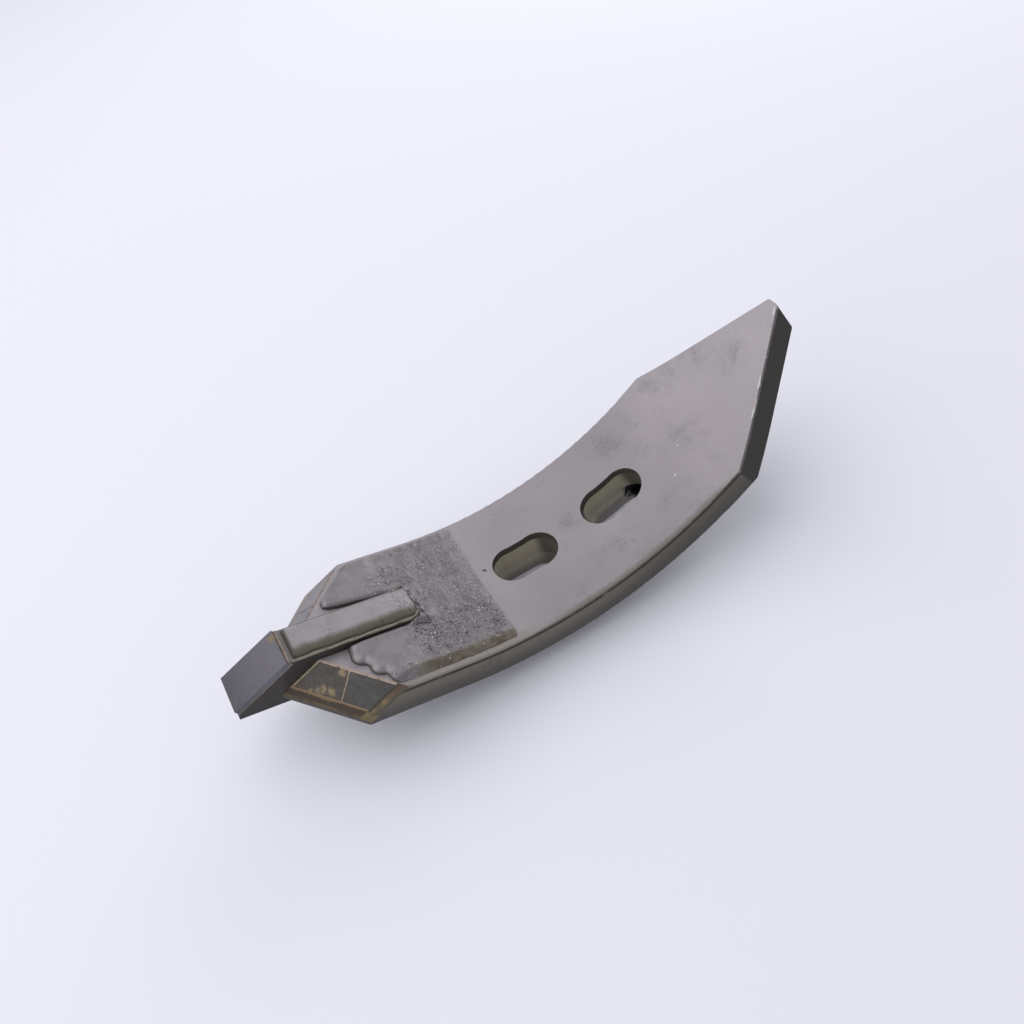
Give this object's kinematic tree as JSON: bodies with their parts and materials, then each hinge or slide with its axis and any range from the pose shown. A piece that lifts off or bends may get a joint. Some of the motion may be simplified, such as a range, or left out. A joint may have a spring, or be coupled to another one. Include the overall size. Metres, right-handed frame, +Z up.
{
  "type": "cultivator share",
  "caption": "Curved cultivator share with bolt slots, a chisel nose bar, hard tiles on the bevelled point, welded wear deposits and a slotted rib on the back.",
  "frame": {"origin": "on the ground under the middle of the share's overall box, the share lying on its rounded back", "axes": "+X along the share from the chisel point to the upper tip, +Y to the left across the share seen from its hollow front with the point down, +Z up out of the hollow front face"},
  "size_m": [0.2958, 0.08, 0.1005],
  "materials": {
    "share_steel": "dull grey hot-rolled steel, lightly mottled, olive grey on the edges",
    "bar_steel": "dark olive grey rolled bar",
    "rib_steel": "dull taupe to olive grey steel",
    "tile": "fine-ground hard tile, cool slate grey with heat tints",
    "braze": "thin pale tan braze line",
    "deposit": "lumpy grey weld deposit with spatter",
    "weld": "rippled weld bead"
  },
  "bodies": {
    "root": {"share_plate": "share_steel", "nose_bar": "bar_steel", "nose_tile": "tile", "nose_braze": "braze", "back_rib": "rib_steel", "right_rib_weld": "weld", "left_rib_weld": "weld", "nose_bead": "weld", "bar_end_weld": "deposit", "right_deposit": "deposit", "left_deposit": "deposit", "cross_deposit": "deposit", "right_outer_tile": "tile", "right_inner_tile": "tile", "right_braze": "braze", "left_outer_tile": "tile", "left_inner_tile": "tile", "left_braze": "braze"}
  },
  "joints": []
}
